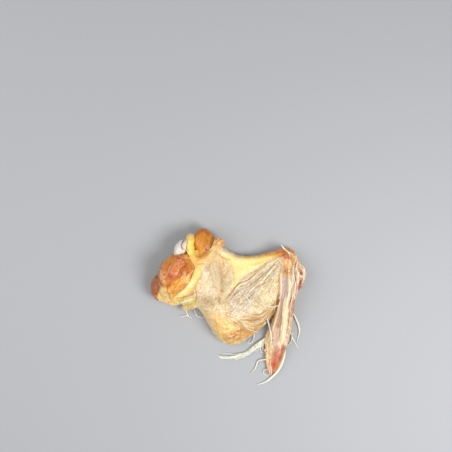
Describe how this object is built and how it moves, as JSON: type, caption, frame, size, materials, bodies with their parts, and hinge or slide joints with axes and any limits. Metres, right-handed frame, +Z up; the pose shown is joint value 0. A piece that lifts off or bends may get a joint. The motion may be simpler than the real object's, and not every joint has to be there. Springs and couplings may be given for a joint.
{
  "type": "raw chicken wing",
  "caption": "Raw whole chicken wing lying folded: cut shoulder with bare muscle, fat and cartilage, a web of skin, elbow, wrist and long tip with stray feather shafts.",
  "frame": {"origin": "middle of the footprint, on the board that the wing lies on", "axes": "+Z up; +Y from the wing tip's end towards the shoulder and wrist; +X from the cut shoulder towards the wrist"},
  "size_m": [0.1236, 0.127, 0.0333],
  "materials": {
    "skin": "moist raw skin, pale cream to yellow, satin with wet highlights",
    "meat": "raw muscle, orange brown, wet and glossy",
    "cartilage": "pearly joint cartilage, smooth and glossy",
    "fat": "soft yellow fat, slightly lumpy, glossy",
    "feather": "off-white feather shafts and wisps, matte"
  },
  "bodies": {
    "root": {"wing_skin": "skin", "shoulder_meat": "meat", "humerus": "cartilage", "shoulder_fat": "fat", "wisp_feather": "feather", "tip_feather": "feather"}
  },
  "joints": []
}
